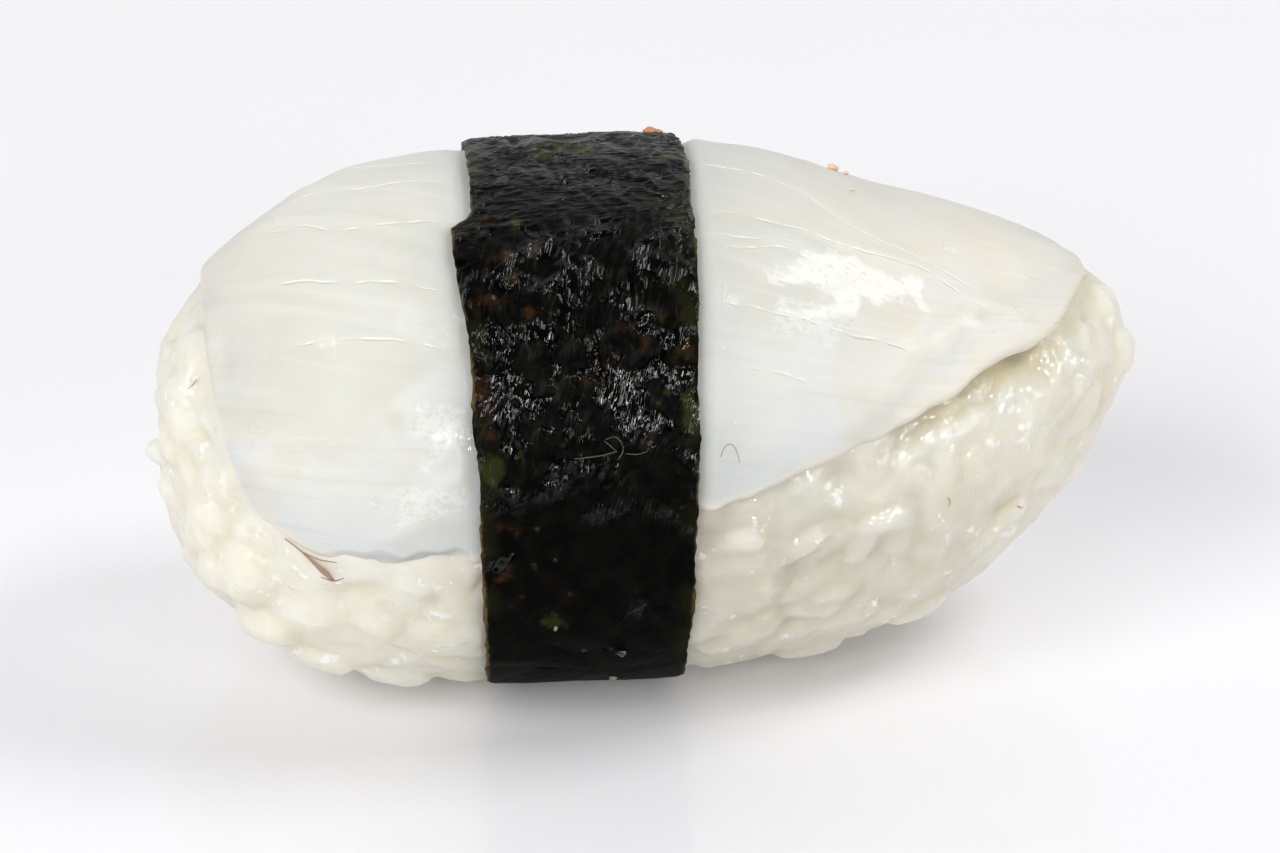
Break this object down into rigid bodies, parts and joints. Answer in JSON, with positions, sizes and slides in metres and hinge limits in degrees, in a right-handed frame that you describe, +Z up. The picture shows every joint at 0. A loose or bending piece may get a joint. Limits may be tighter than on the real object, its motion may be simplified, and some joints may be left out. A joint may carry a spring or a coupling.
{
  "type": "nigiri sushi",
  "caption": "Hand-pressed rice block under a draped slab of white seafood, with a seaweed band wrapped round the middle of both.",
  "frame": {"origin": "the middle of the underside's bounding box, on the surface that the piece stands on", "axes": "+X along the length, from the blunt end to the slim end; +Y to the back, away from the side that shows; +Z up"},
  "size_m": [0.0615, 0.035, 0.0324],
  "materials": {
    "rice": "moist, sticky cooked rice with small wet glints",
    "topping": "wet, milky and slightly see-through seafood flesh",
    "nori": "dried seaweed, wrinkled and shiny where damp, dull where dry"
  },
  "bodies": {
    "root": {"rice": "rice", "topping": "topping", "nori": "nori"}
  },
  "joints": []
}
